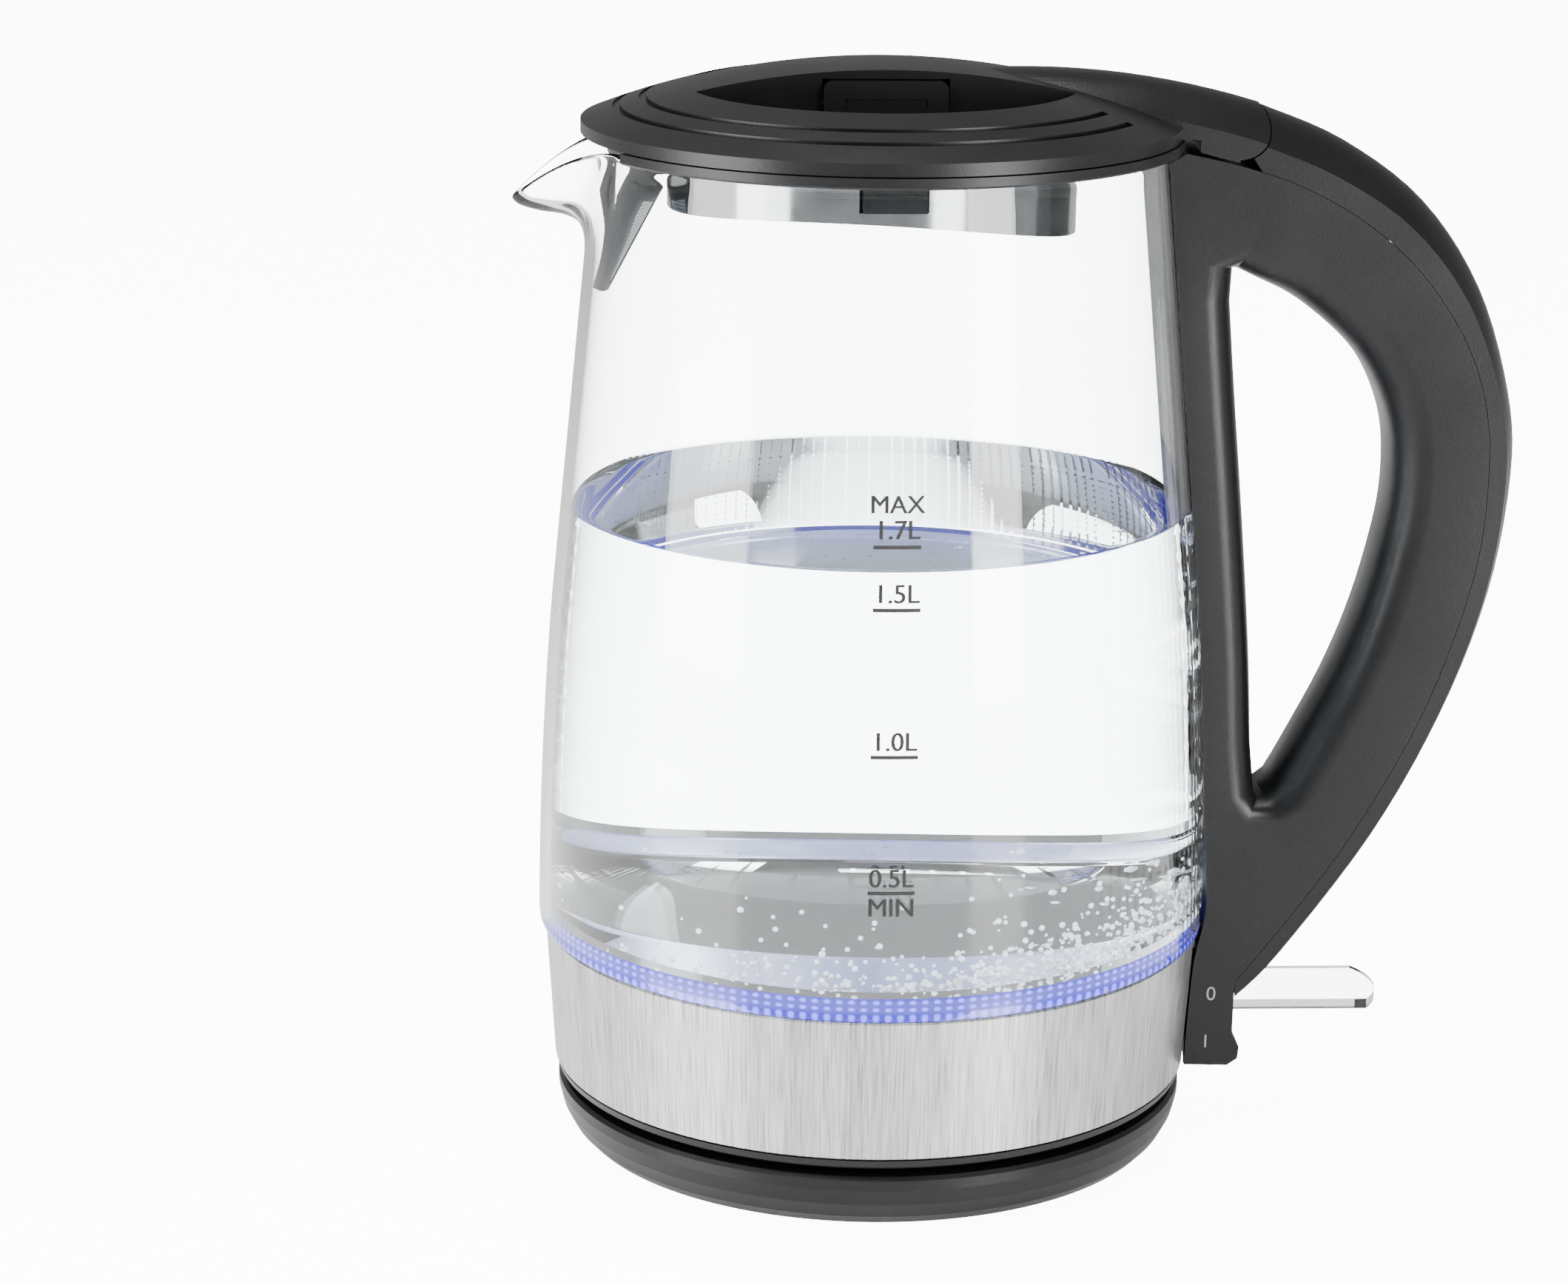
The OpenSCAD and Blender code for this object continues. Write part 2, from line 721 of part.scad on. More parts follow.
module lid_top() {
    well_floor = 233.5;
    skin = 2.2;
    color("#1d1d1e")
        difference() {
            union() {
                difference() {
                    dome(0, 229.9);
                    dome(skin, 220);
                }
                for (m = [0, 1])
                    mirror([0, m, 0])
                        intersection() {
                            dome(0.1, 229.9);
                            translate([0, 0, well_floor - 2]) linear_extrude(20) well_plan(2);
                        }
                // Tail that ends in the hinge barrel
                intersection() {
                    slab(handle_half + 1) tail_outline();
                    tail_crown();
                }
            }
            // Finger wells
            for (m = [0, 1])
                mirror([0, m, 0])
                    translate([0, 0, well_floor]) linear_extrude(20) well_plan(0);
            // Ring grooves, ended short of the tail
            for (r = [52.4, 58.2])
                rotate([0, 0, 28])
                    rotate_extrude(angle = 304)
                        translate([r - 0.8, dome_top_z - dome_r + sqrt(dome_r * dome_r - r * r) - 0.7])
                            square([1.6, 3]);
            // Windows for the two latch buttons
            for (m = [0, 1])
                mirror([0, m, 0])
                    translate([-13.8, -spine_half - 3, 234.2]) cube([27.6, 7, 8.7]);
            // Inside of the spine
            translate([-30, -spine_half + 2, 220]) cube([60, 2 * spine_half - 4, 21]);
            translate([-15, -spine_half + 2, 220]) cube([30, 2 * spine_half - 4, 22.9]);
            // Slot for the hinge tongue
            translate([68, -5, 218]) cube([18, 10, hinge_z + 1.4 - 218]);
            translate([hinge_x, 5, hinge_z]) rotate([90, 0, 0]) cylinder(r = 4, h = 10);
            // Bores for the hinge pin
            translate([hinge_x, 9.3, hinge_z])
                rotate([90, 0, 0]) cylinder(r = pin_r + run_fit, h = 18.6, $fn = 48);
        }
}

module lid_liner() {
    color("#232324")
        difference() {
            union() {
                tube(62.5, skirt_r - 2, 229.9, 231.1);
                for (a = [60:120:300])
                    rotate([0, 0, a]) translate([54, 0, 231]) cylinder(r = 2.8, h = 2.3);
                // Rib between the two latch springs
                translate([-8, -1, 229.9]) cube([16, 2, 9.8]);
                translate([-skirt_r + 1, -1, 229.9]) cube([2 * skirt_r - 2, 2, 1.2]);
            }
            for (a = [60:120:300])
                rotate([0, 0, a]) translate([54, 0, 225]) cylinder(r = 1.25, h = 20);
        }
}

module lid_screws() {
    color("#b9bcc0")
        for (a = [60:120:300])
            rotate([0, 0, a]) translate([54, 0, 231.2]) cylinder(r = 1.2, h = 2.6, $fn = 24);
}

module lid_seal() {
    color("#cfcfcc")
        tube(57.6, 55, 229.65, 229.88);
}

// Long cylinder whose lowest line is the skirt's lower edge, lifted by rise. That edge slopes
// down from the spout side to the handle side and arches up towards both flanks
module skirt_arch(rise) {
    arch_r = 201;
    translate([0, 0, 211.2 + rise])
        rotate([0, 3.2, 0])
            translate([-70, 0, arch_r]) rotate([0, 90, 0]) cylinder(r = arch_r, h = 140, $fn = 360);
}

module lid_skirt() {
    color("#a9abad")
        difference() {
            intersection() {
                translate([-2, 0, 0]) tube(skirt_r, skirt_r - 0.8, 205, 229.8);
                skirt_arch(0);
            }
            // Windows for the latch bolts
            for (m = [0, 1])
                mirror([0, m, 0])
                    translate([-7.3, -skirt_r - 4, 219]) cube([14.6, 10, 12]);
        }
}

module lid_bottom() {
    color("#26262a")
        difference() {
            intersection() {
                translate([-2, 0, 205]) cylinder(r = skirt_r - 0.9, h = 13.6);
                skirt_arch(0.6);
            }
            intersection() {
                translate([-2, 0, 200]) cylinder(r = skirt_r - 2.4, h = 20);
                skirt_arch(2.4);
            }
        }
}

// One latch bolt: stem inside the spine, arm under the well, tongue through the skirt
module latch_bolt() {
    color("#29292b")
        union() {
            translate([-9, -10.6, 227]) cube([18, 3, 14]);
            translate([-6.6, -46, 226.2]) cube([13.2, 38.4, 3]);
            translate([-6.6, -49, 219.6]) cube([13.2, 6, 8]);
        }
}

module latch_bolt_near() {
    latch_bolt();
}

module latch_bolt_far() {
    mirror([0, 1, 0]) latch_bolt();
}

// Button pad in the spine's side wall
module lid_button() {
    color("#161617")
        difference() {
            translate([0, -10.65, 238.5])
                rotate([90, 0, 0])
                    linear_extrude(3.95)
                        union() {
                            square([23, 8.1], center = true);
                            square([27, 4.1], center = true);
                            for (sx = [-1, 1])
                                for (sz = [-1, 1])
                                    translate([sx * 11.5, sz * 2.05]) circle(r = 2, $fn = 32);
                        }
            translate([-9, -14.7, 236.5]) cube([18, 0.5, 2.2]);
        }
}

module lid_button_near() {
    lid_button();
}

module lid_button_far() {
    mirror([0, 1, 0]) lid_button();
}

// Coil along Y, wound as one tube round its own path
module latch_spring() {
    coil_r = 2.4;
    wire_r = 0.35;
    turns = 4;
    length = 5.4;
    per_turn = 12;
    sides = 8;
    n = turns * per_turn;
    ring = [for (i = [0:n]) for (k = [0:sides - 1])
        let (a = 360 * i / per_turn, b = 360 * k / sides, r = coil_r + wire_r * cos(b))
        [r * cos(a), -1.55 - wire_r - (length - 2 * wire_r) * i / n + wire_r * sin(b), r * sin(a)]];
    side_faces = [for (i = [0:n - 1]) for (k = [0:sides - 1])
        let (k2 = (k + 1) % sides)
        [i * sides + k, i * sides + k2, (i + 1) * sides + k2, (i + 1) * sides + k]];
    ends = [[for (k = [sides - 1:-1:0]) k], [for (k = [0:sides - 1]) n * sides + k]];
    color("#c3c6c9")
        translate([0, 0, 236]) polyhedron(ring, concat(side_faces, ends));
}

module latch_spring_near() {
    latch_spring();
}

module latch_spring_far() {
    mirror([0, 1, 0]) latch_spring();
}

base_shell();
base_bottom();
base_feet();
base_screws();
base_connector();
base_contact_rings();
base_leads();
cord_gland();
glass_jug();
steel_band();
jug_bottom();
jug_bottom_screws();
jug_socket();
socket_contacts();
chassis_ring();
heating_plate();
heat_spreader();
heating_element();
plate_gasket();
light_ring();
led_board();
leds();
control_box();
bimetal_discs();
jug_wiring();
collar();
collar_seal();
filter_frame();
filter_mesh();
handle_inner();
handle_outer();
handle_screws();
steam_tube();
steam_switch();
hinge_pin();
switch_pin();
switch_lever();
lid_top();
lid_liner();
lid_seal();
lid_skirt();
lid_bottom();
lid_screws();
latch_bolt_near();
latch_bolt_far();
lid_button_near();
lid_button_far();
latch_spring_near();
latch_spring_far();
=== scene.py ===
import math
import random

import bmesh
import bpy
from mathutils import Matrix, Vector


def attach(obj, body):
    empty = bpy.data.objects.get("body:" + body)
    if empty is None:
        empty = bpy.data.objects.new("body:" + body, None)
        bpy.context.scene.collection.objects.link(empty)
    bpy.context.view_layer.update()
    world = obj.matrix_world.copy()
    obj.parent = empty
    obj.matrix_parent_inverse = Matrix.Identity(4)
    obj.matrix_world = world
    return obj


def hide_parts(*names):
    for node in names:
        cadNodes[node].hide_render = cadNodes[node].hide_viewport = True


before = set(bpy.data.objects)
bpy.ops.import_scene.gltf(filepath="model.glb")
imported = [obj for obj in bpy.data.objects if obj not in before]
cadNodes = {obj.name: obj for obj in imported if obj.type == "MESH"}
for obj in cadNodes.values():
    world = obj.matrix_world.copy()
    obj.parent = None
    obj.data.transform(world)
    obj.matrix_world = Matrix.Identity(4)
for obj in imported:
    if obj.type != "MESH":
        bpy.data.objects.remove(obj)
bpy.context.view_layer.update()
mm = 0.001

# camera and floor

cameraSetup = {
    "place": (-59.4, -911.8, 363.1),  # mm
    "turn": (74.711, -0.4995, -2.313),  # degrees
    "lens": 96.0,
}
cameraData = bpy.data.cameras.new("studioCamera")
cameraData.lens = cameraSetup["lens"]
cameraData.sensor_width = 36
camera = bpy.data.objects.new("studioCamera", cameraData)
camera.location = [c * mm for c in cameraSetup["place"]]
camera.rotation_euler = [math.radians(a) for a in cameraSetup["turn"]]
bpy.context.collection.objects.link(camera)
bpy.context.scene.camera = camera


def linearColour(hexText, alpha=1.0):
    parts = [int(hexText[i:i + 2], 16) / 255 for i in (1, 3, 5)]
    return [c / 12.92 if c <= 0.04045 else ((c + 0.055) / 1.055) ** 2.4 for c in parts] + [alpha]


def addNode(tree, kind, settings=None, inputs=None):
    node = tree.nodes.new(kind)
    for key, value in (settings or {}).items():
        setattr(node, key, value)
    for key, value in (inputs or {}).items():
        if isinstance(value, bpy.types.NodeSocket):
            tree.links.new(value, node.inputs[key])
        else:
            node.inputs[key].default_value = value
    return node


def newMaterial(name):
    material = bpy.data.materials.new(name)
    material.use_nodes = True
    tree = material.node_tree
    for node in list(tree.nodes):
        tree.nodes.remove(node)
    output = addNode(tree, "ShaderNodeOutputMaterial")
    place = addNode(tree, "ShaderNodeTexCoord").outputs["Object"]
    return material, tree, output, place


def roundTheJug(tree, place, radius):
    # distance round the jug's axis and height, both in metres
    parts = addNode(tree, "ShaderNodeSeparateXYZ", {}, {0: place})
    angle = addNode(tree, "ShaderNodeMath", {"operation": "ARCTAN2"},
                    {0: parts.outputs["Y"], 1: parts.outputs["X"]})
    arc = addNode(tree, "ShaderNodeMath", {"operation": "MULTIPLY"}, {0: angle.outputs[0], 1: radius})
    return arc.outputs[0], parts.outputs["Z"]


# Moulded plastics, rubbers and resins: a spark-eroded mould leaves a fine even grain
def mouldedPlastic(name, low, high, roughness=0.42, grain=0.5, depth=0.03, ior=1.49, coat=0.0):
    material, tree, output, place = newMaterial(name)
    cloud = addNode(tree, "ShaderNodeTexNoise", {}, {"Vector": place, "Scale": 38, "Detail": 3})
    grit = addNode(tree, "ShaderNodeTexNoise", {}, {"Vector": place, "Scale": 1000 / grain, "Detail": 1})
    colour = addNode(tree, "ShaderNodeMix", {"data_type": "RGBA"},
                     {0: cloud.outputs["Fac"], 6: linearColour(low), 7: linearColour(high)})
    sheen = addNode(tree, "ShaderNodeMapRange", {}, {
        "Value": cloud.outputs["Fac"], "From Min": 0.3, "From Max": 0.7,
        "To Min": roughness - 0.04, "To Max": roughness + 0.04})
    relief = addNode(tree, "ShaderNodeBump", {},
                     {"Height": grit.outputs["Fac"], "Distance": depth * mm, "Strength": 1.0})
    shader = addNode(tree, "ShaderNodeBsdfPrincipled", {}, {
        "Base Color": colour.outputs[2],
        "Roughness": sheen.outputs["Result"],
        "Normal": relief.outputs["Normal"],
        "IOR": ior, "Coat Weight": coat, "Coat Roughness": 0.12,
    })
    tree.links.new(shader.outputs[0], output.inputs["Surface"])
    return material


# Stainless sheet brushed upright: hair lines that run up the band and catch light across it
def brushedSheet(name, low, high, radius=73.7, line=0.42, length=14, rough=(0.26, 0.36)):
    material, tree, output, place = newMaterial(name)
    arc, height = roundTheJug(tree, place, radius * mm)
    stretched = addNode(tree, "ShaderNodeMath", {"operation": "MULTIPLY"}, {0: height, 1: line / length})
    flat = addNode(tree, "ShaderNodeCombineXYZ", {}, {0: arc, 1: stretched.outputs[0]}).outputs[0]
    hair = addNode(tree, "ShaderNodeTexNoise", {}, {"Vector": flat, "Scale": 1000 / line, "Detail": 3})
    broad = addNode(tree, "ShaderNodeTexNoise", {}, {"Vector": flat, "Scale": 160, "Detail": 2})
    both = addNode(tree, "ShaderNodeMix", {}, {0: 0.3, 2: hair.outputs["Fac"], 3: broad.outputs["Fac"]})
    tone = addNode(tree, "ShaderNodeMapRange", {}, {
        "Value": both.outputs[0], "From Min": 0.35, "From Max": 0.65, "To Min": 0, "To Max": 1})
    colour = addNode(tree, "ShaderNodeMix", {"data_type": "RGBA"},
                     {0: tone.outputs["Result"], 6: linearColour(low), 7: linearColour(high)})
    sheen = addNode(tree, "ShaderNodeMapRange", {}, {
        "Value": hair.outputs["Fac"], "From Min": 0.3, "From Max": 0.7,
        "To Min": rough[0], "To Max": rough[1]})
    relief = addNode(tree, "ShaderNodeBump", {},
                     {"Height": hair.outputs["Fac"], "Distance": 0.012 * mm, "Strength": 1.0})
    shader = addNode(tree, "ShaderNodeBsdfPrincipled", {}, {
        "Base Color": colour.outputs[2],
        "Metallic": 1.0,
        "Roughness": sheen.outputs["Result"],
        "Normal": relief.outputs["Normal"],
    })
    tree.links.new(shader.outputs[0], output.inputs["Surface"])
    return material


# Plain metals: ground, rolled, cast or plated, told apart by grain and roughness
def plainMetal(name, low, high, roughness=0.3, grain=1.2, depth=0.01):
    material, tree, output, place = newMaterial(name)
    cloud = addNode(tree, "ShaderNodeTexNoise", {}, {"Vector": place, "Scale": 1000 / grain, "Detail": 3})
    colour = addNode(tree, "ShaderNodeMix", {"data_type": "RGBA"},
                     {0: cloud.outputs["Fac"], 6: linearColour(low), 7: linearColour(high)})
    sheen = addNode(tree, "ShaderNodeMapRange", {}, {
        "Value": cloud.outputs["Fac"], "From Min": 0.3, "From Max": 0.7,
        "To Min": roughness * 0.8, "To Max": roughness * 1.2})
    relief = addNode(tree, "ShaderNodeBump", {},
                     {"Height": cloud.outputs["Fac"], "Distance": depth * mm, "Strength": 1.0})
    shader = addNode(tree, "ShaderNodeBsdfPrincipled", {}, {
        "Base Color": colour.outputs[2],
        "Metallic": 1.0,
        "Roughness": sheen.outputs["Result"],
        "Normal": relief.outputs["Normal"],
    })
    tree.links.new(shader.outputs[0], output.inputs["Surface"])
    return material


# Clear bodies: light passes to what lies behind, and their shadow stays pale
def clearBody(name, tint, ior, roughness=0.0, wave=25.0, depth=0.02, shade="#F2F5F6"):
    material, tree, output, place = newMaterial(name)
    ripple = addNode(tree, "ShaderNodeTexNoise", {}, {"Vector": place, "Scale": 1000 / wave, "Detail": 1})
    relief = addNode(tree, "ShaderNodeBump", {},
                     {"Height": ripple.outputs["Fac"], "Distance": depth * mm, "Strength": 1.0})
    shader = addNode(tree, "ShaderNodeBsdfPrincipled", {}, {
        "Base Color": linearColour(tint), "Transmission Weight": 1.0, "Roughness": roughness, "IOR": ior,
        "Normal": relief.outputs["Normal"],
    })
    pale = addNode(tree, "ShaderNodeBsdfTransparent", {}, {"Color": linearColour(shade)})
    lightPath = addNode(tree, "ShaderNodeLightPath")
    mixed = addNode(tree, "ShaderNodeMixShader", {},
                    {0: lightPath.outputs["Is Shadow Ray"], 1: shader.outputs[0], 2: pale.outputs[0]})
    tree.links.new(mixed.outputs[0], output.inputs["Surface"])
    return material


# Clear silicone lit from below: rows of moulded lens dots shine brighter than the band
def litSilicone(name, band, dots, pitch=2.6, rowPitch=1.55, firstRow=50.3, strength=1.6):
    material, tree, output, place = newMaterial(name)
    arc, height = roundTheJug(tree, place, 73.3 * mm)
    across = addNode(tree, "ShaderNodeMath", {"operation": "MULTIPLY"}, {0: arc, 1: 1 / (pitch * mm)})
    up = addNode(tree, "ShaderNodeMapRange", {"clamp": False}, {
        "Value": height, "From Min": firstRow * mm, "From Max": (firstRow + rowPitch) * mm,
        "To Min": 0.0, "To Max": 1.0})
    cell = addNode(tree, "ShaderNodeCombineXYZ", {}, {0: across.outputs[0], 1: up.outputs["Result"], 2: 0.5})
    part = addNode(tree, "ShaderNodeVectorMath", {"operation": "FRACTION"}, {0: cell.outputs[0]})
    offCentre = addNode(tree, "ShaderNodeVectorMath", {"operation": "DISTANCE"},
                        {0: part.outputs[0], 1: (0.5, 0.5, 0.5)})
    mask = addNode(tree, "ShaderNodeMapRange", {}, {
        "Value": offCentre.outputs["Value"], "From Min": 0.16, "From Max": 0.36, "To Min": 1, "To Max": 0})
    colour = addNode(tree, "ShaderNodeMix", {"data_type": "RGBA"},
                     {0: mask.outputs["Result"], 6: linearColour(band), 7: linearColour(dots)})
    glow = addNode(tree, "ShaderNodeMapRange", {}, {
        "Value": mask.outputs["Result"], "From Min": 0, "From Max": 1,
        "To Min": 0.45 * strength, "To Max": 2.6 * strength})
    shader = addNode(tree, "ShaderNodeBsdfPrincipled", {}, {
        "Base Color": colour.outputs[2], "Roughness": 0.25,
        "Emission Color": colour.outputs[2], "Emission Strength": glow.outputs["Result"]})
    tree.links.new(shader.outputs[0], output.inputs["Surface"])
    return material


# Woven stainless gauze: round wires crossing; the holes are painted near black, a painted shade for the dim
# space seen through them
def wovenGauze(name, wire, hole, pitch=0.9, border=(2.4, 10.2)):
    material, tree, output, place = newMaterial(name)
    parts = addNode(tree, "ShaderNodeSeparateXYZ", {}, {0: place})
    waves = []
    for axis in ("Y", "Z"):
        turn = addNode(tree, "ShaderNodeMath", {"operation": "MULTIPLY"},
                       {0: parts.outputs[axis], 1: 2 * math.pi / (pitch * mm)})
        waves.append(addNode(tree, "ShaderNodeMath", {"operation": "SINE"}, {0: turn.outputs[0]}))
    top = addNode(tree, "ShaderNodeMath", {"operation": "MAXIMUM"},
                  {0: waves[0].outputs[0], 1: waves[1].outputs[0]})
    woven = addNode(tree, "ShaderNodeMapRange", {}, {
        "Value": top.outputs[0], "From Min": -0.2, "From Max": 0.6, "To Min": 0, "To Max": 1})
    # the frame's plastic is moulded over the gauze along both slanted edges
    aside = addNode(tree, "ShaderNodeMath", {"operation": "ABSOLUTE"}, {0: parts.outputs["Y"]})
    line = addNode(tree, "ShaderNodeMapRange", {}, {
        "Value": parts.outputs["Z"], "From Min": 193 * mm, "From Max": 213 * mm,
        "To Min": border[0] * mm, "To Max": border[1] * mm})
    inside = addNode(tree, "ShaderNodeMath", {"operation": "LESS_THAN"},
                     {0: aside.outputs[0], 1: line.outputs["Result"]})
    mask = addNode(tree, "ShaderNodeMath", {"operation": "MULTIPLY"},
                   {0: woven.outputs["Result"], 1: inside.outputs[0]})
    # painted shade in the holes; outside the border the same dark colour is the frame's moulded plastic
    colour = addNode(tree, "ShaderNodeMix", {"data_type": "RGBA"},
                     {0: mask.outputs[0], 6: linearColour(hole), 7: linearColour(wire)})
    relief = addNode(tree, "ShaderNodeBump", {},
                     {"Height": mask.outputs[0], "Distance": 0.15 * mm, "Strength": 1.0})
    shader = addNode(tree, "ShaderNodeBsdfPrincipled", {}, {
        "Base Color": colour.outputs[2], "Metallic": mask.outputs[0], "Roughness": 0.35,
        "Normal": relief.outputs["Normal"]})
    tree.links.new(shader.outputs[0], output.inputs["Surface"])
    return material


# Satin steel floor with painted light: an emitted blue-violet glow, standing in for the ring's light, grows
# towards its edge over a faint pale glow painted across the whole plate
def plateWithPaintedGlow(name, low, high, glow, reach=(40, 67), strength=0.5, roughness=0.32):
    material, tree, output, place = newMaterial(name)
    cloud = addNode(tree, "ShaderNodeTexNoise", {}, {"Vector": place, "Scale": 420, "Detail": 3})
    parts = addNode(tree, "ShaderNodeSeparateXYZ", {}, {0: place})
    level = addNode(tree, "ShaderNodeCombineXYZ", {}, {0: parts.outputs["X"], 1: parts.outputs["Y"]})
    away = addNode(tree, "ShaderNodeVectorMath", {"operation": "LENGTH"}, {0: level.outputs[0]})
    edge = addNode(tree, "ShaderNodeMapRange", {}, {
        "Value": away.outputs["Value"], "From Min": reach[0] * mm, "From Max": reach[1] * mm,
        "To Min": 0, "To Max": 1})
    colour = addNode(tree, "ShaderNodeMix", {"data_type": "RGBA"},
                     {0: cloud.outputs["Fac"], 6: linearColour(low), 7: linearColour(high)})
    sheen = addNode(tree, "ShaderNodeMapRange", {}, {
        "Value": cloud.outputs["Fac"], "From Min": 0.3, "From Max": 0.7,
        "To Min": roughness - 0.05, "To Max": roughness + 0.05})
    # painted light: the emission colour runs from a pale glow in the middle to the ring's blue-violet at the
    # edge
    paintedGlowColour = addNode(tree, "ShaderNodeMix", {"data_type": "RGBA"},
                   {0: edge.outputs["Result"], 6: linearColour("#D9DEE6"), 7: linearColour(glow)})
    # painted light: the emission is faint in the middle of the plate and strongest at its edge
    shine = addNode(tree, "ShaderNodeMapRange", {}, {
        "Value": edge.outputs["Result"], "From Min": 0, "From Max": 1, "To Min": 0.18, "To Max": strength})
    relief = addNode(tree, "ShaderNodeBump", {},
                     {"Height": cloud.outputs["Fac"], "Distance": 0.01 * mm, "Strength": 1.0})
    shader = addNode(tree, "ShaderNodeBsdfPrincipled", {}, {
        "Base Color": colour.outputs[2], "Metallic": 0.7,
        "Roughness": sheen.outputs["Result"],
        "Emission Color": paintedGlowColour.outputs[2],
        "Emission Strength": shine.outputs["Result"],
        "Normal": relief.outputs["Normal"],
    })
    tree.links.new(shader.outputs[0], output.inputs["Surface"])
    return material


blackPolypropylene = mouldedPlastic("satinMouldedPolypropylene", "#070708", "#0C0C0D", 0.34, 0.5, 0.02, 1.34)
blackNylon = mouldedPlastic("mouldedBlackNylon", "#0A0A0B", "#0F0F10", 0.46)
blackAbs = mouldedPlastic("sparkErodedBlackAbs", "#08080A", "#0E0E0F", 0.36, 0.5, 0.02, 1.34)
darkRubber = mouldedPlastic("mouldedNitrileRubber", "#1C1C1D", "#262627", 0.7, 0.9, 0.05, 1.52)
nylonCream = mouldedPlastic("mouldedNylonCream", "#D6CDB8", "#E2DAC8", 0.45)
leadSleeve = mouldedPlastic("extrudedSiliconeSleeve", "#C6BEA8", "#D8D1BE", 0.5)
whiteSilicone = mouldedPlastic("mouldedWhiteSilicone", "#C9C9C4", "#DADAD6", 0.55)
greenBoard = mouldedPlastic("solderMaskedBoard", "#164A2C", "#1D5C38", 0.3)
smokedPlastic = mouldedPlastic("smokedFilterPolypropylene", "#0E0F10", "#161718", 0.42, 0.5, 0.02, 1.38)
bandSteel = brushedSheet("brushedStainlessBand", "#8C8D8D", "#CFCFCE")
skirtSteel = plainMetal("polishedStainlessSkirt", "#8E8F91", "#A2A3A5", 0.12, 6, 0.002)
# the heating plate's blue-violet edge glow and pale centre glow are painted light, not lamps
plateSteelPaintedGlow = plateWithPaintedGlow("satinStainlessPlatePaintedGlow", "#B4B6B8", "#D2D3D4", "#5A50FF")
pinSteel = plainMetal("groundStainlessPin", "#B9BBBD", "#CFD0D2", 0.22)
platedScrew = plainMetal("zincPlatedScrew", "#A9ABAE", "#C4C6C8", 0.3)
castAluminium = plainMetal("castAluminiumHeater", "#9EA0A2", "#B6B8BA", 0.45, 1.5, 0.04)
contactBrass = plainMetal("rolledBrassContact", "#B98B43", "#D2A75C", 0.28)
bimetalDisc = plainMetal("rolledBimetal", "#A8844A", "#BD9A5E", 0.35)
jugGlass = clearBody("blownBorosilicateGlass", "#FBFDFD", 1.47, 0.0, 40, 0.01)
leverPlastic = clearBody("mouldedClearSan", "#F1F3F3", 1.5, 0.04, 18, 0.02, "#DDE0E0")
lightGuide = litSilicone("litAcrylicLightGuide", "#2A20E0", "#7C78FF", strength=0.5)
gasketSilicone = litSilicone("litSiliconeGasket", "#0A0496", "#5E54F4", strength=0.45)

nodeFinishes = {
    "base_shell": blackPolypropylene, "base_bottom": blackPolypropylene, "base_feet": darkRubber,
    "base_screws": platedScrew, "base_connector": blackNylon, "base_contact_rings": contactBrass,
    "base_leads": leadSleeve, "cord_gland": darkRubber,
    "glass_jug": jugGlass, "steel_band": bandSteel, "jug_bottom": blackPolypropylene,
    "jug_bottom_screws": platedScrew, "jug_socket": blackNylon, "socket_contacts": contactBrass,
    "chassis_ring": blackNylon, "heating_plate": plateSteelPaintedGlow, "heat_spreader": castAluminium,
    "heating_element": castAluminium, "plate_gasket": gasketSilicone, "light_ring": lightGuide,
    "led_board": greenBoard, "leds": lightGuide, "control_box": nylonCream, "bimetal_discs": bimetalDisc,
    "jug_wiring": leadSleeve, "collar": blackAbs, "collar_seal": whiteSilicone,
    "filter_frame": smokedPlastic, "handle_inner": blackPolypropylene, "handle_outer": blackPolypropylene,
    "handle_screws": platedScrew, "steam_tube": whiteSilicone, "steam_switch": bimetalDisc,
    "hinge_pin": pinSteel, "switch_pin": pinSteel, "switch_lever": leverPlastic,
    "lid_top": blackPolypropylene, "lid_liner": blackAbs, "lid_seal": whiteSilicone,
    "lid_skirt": skirtSteel, "lid_bottom": blackAbs, "lid_screws": platedScrew,
    "latch_bolt_near": blackAbs, "latch_bolt_far": blackAbs, "lid_button_near": blackAbs,
    "lid_button_far": blackAbs, "latch_spring_near": pinSteel, "latch_spring_far": pinSteel,
    "filter_mesh": wovenGauze("wovenStainlessGauze", "#C5C6C7", "#17181A"),
}


def finishNode(name, material):
    piece = cadNodes[name]
    piece.data.materials.clear()
    piece.data.materials.append(material)


for nodeName, material in nodeFinishes.items():
    finishNode(nodeName, material)
print("materials on", len(nodeFinishes), "CAD nodes")


# helpers for the pieces made here

def glassRadius(z):
    # the jug's outer wall in mm: a bulged foot under a straight cone
    return 76.09 - 0.000516 * (z - 45) ** 2 if z < 125 else 72.79 - 0.0975 * (z - 125)


def smoothLine(points, steps=4):
    line = []
    for i in range(len(points) - 1):
        a, b, c, d = (points[min(max(i + k, 0), len(points) - 1)] for k in (-1, 0, 1, 2))
        for k in range(steps):
            t = k / steps
            line.append([0.5 * (2 * q + (r - p) * t + (2 * p - 5 * q + 4 * r - s) * t * t
                                + (3 * q - p - 3 * r + s) * t ** 3)
                         for p, q, r, s in zip(a, b, c, d)])
    return line + [list(points[-1])]


def shiftLine(line, gap):
    # moves a line sideways, to the right of its direction
    moved = []
    for i, (x, z) in enumerate(line):
        ax, az = line[max(i - 1, 0)]
        bx, bz = line[min(i + 1, len(line) - 1)]
        size = math.hypot(bx - ax, bz - az)
        moved.append([x + gap * (bz - az) / size, z - gap * (bx - ax) / size])
    return moved


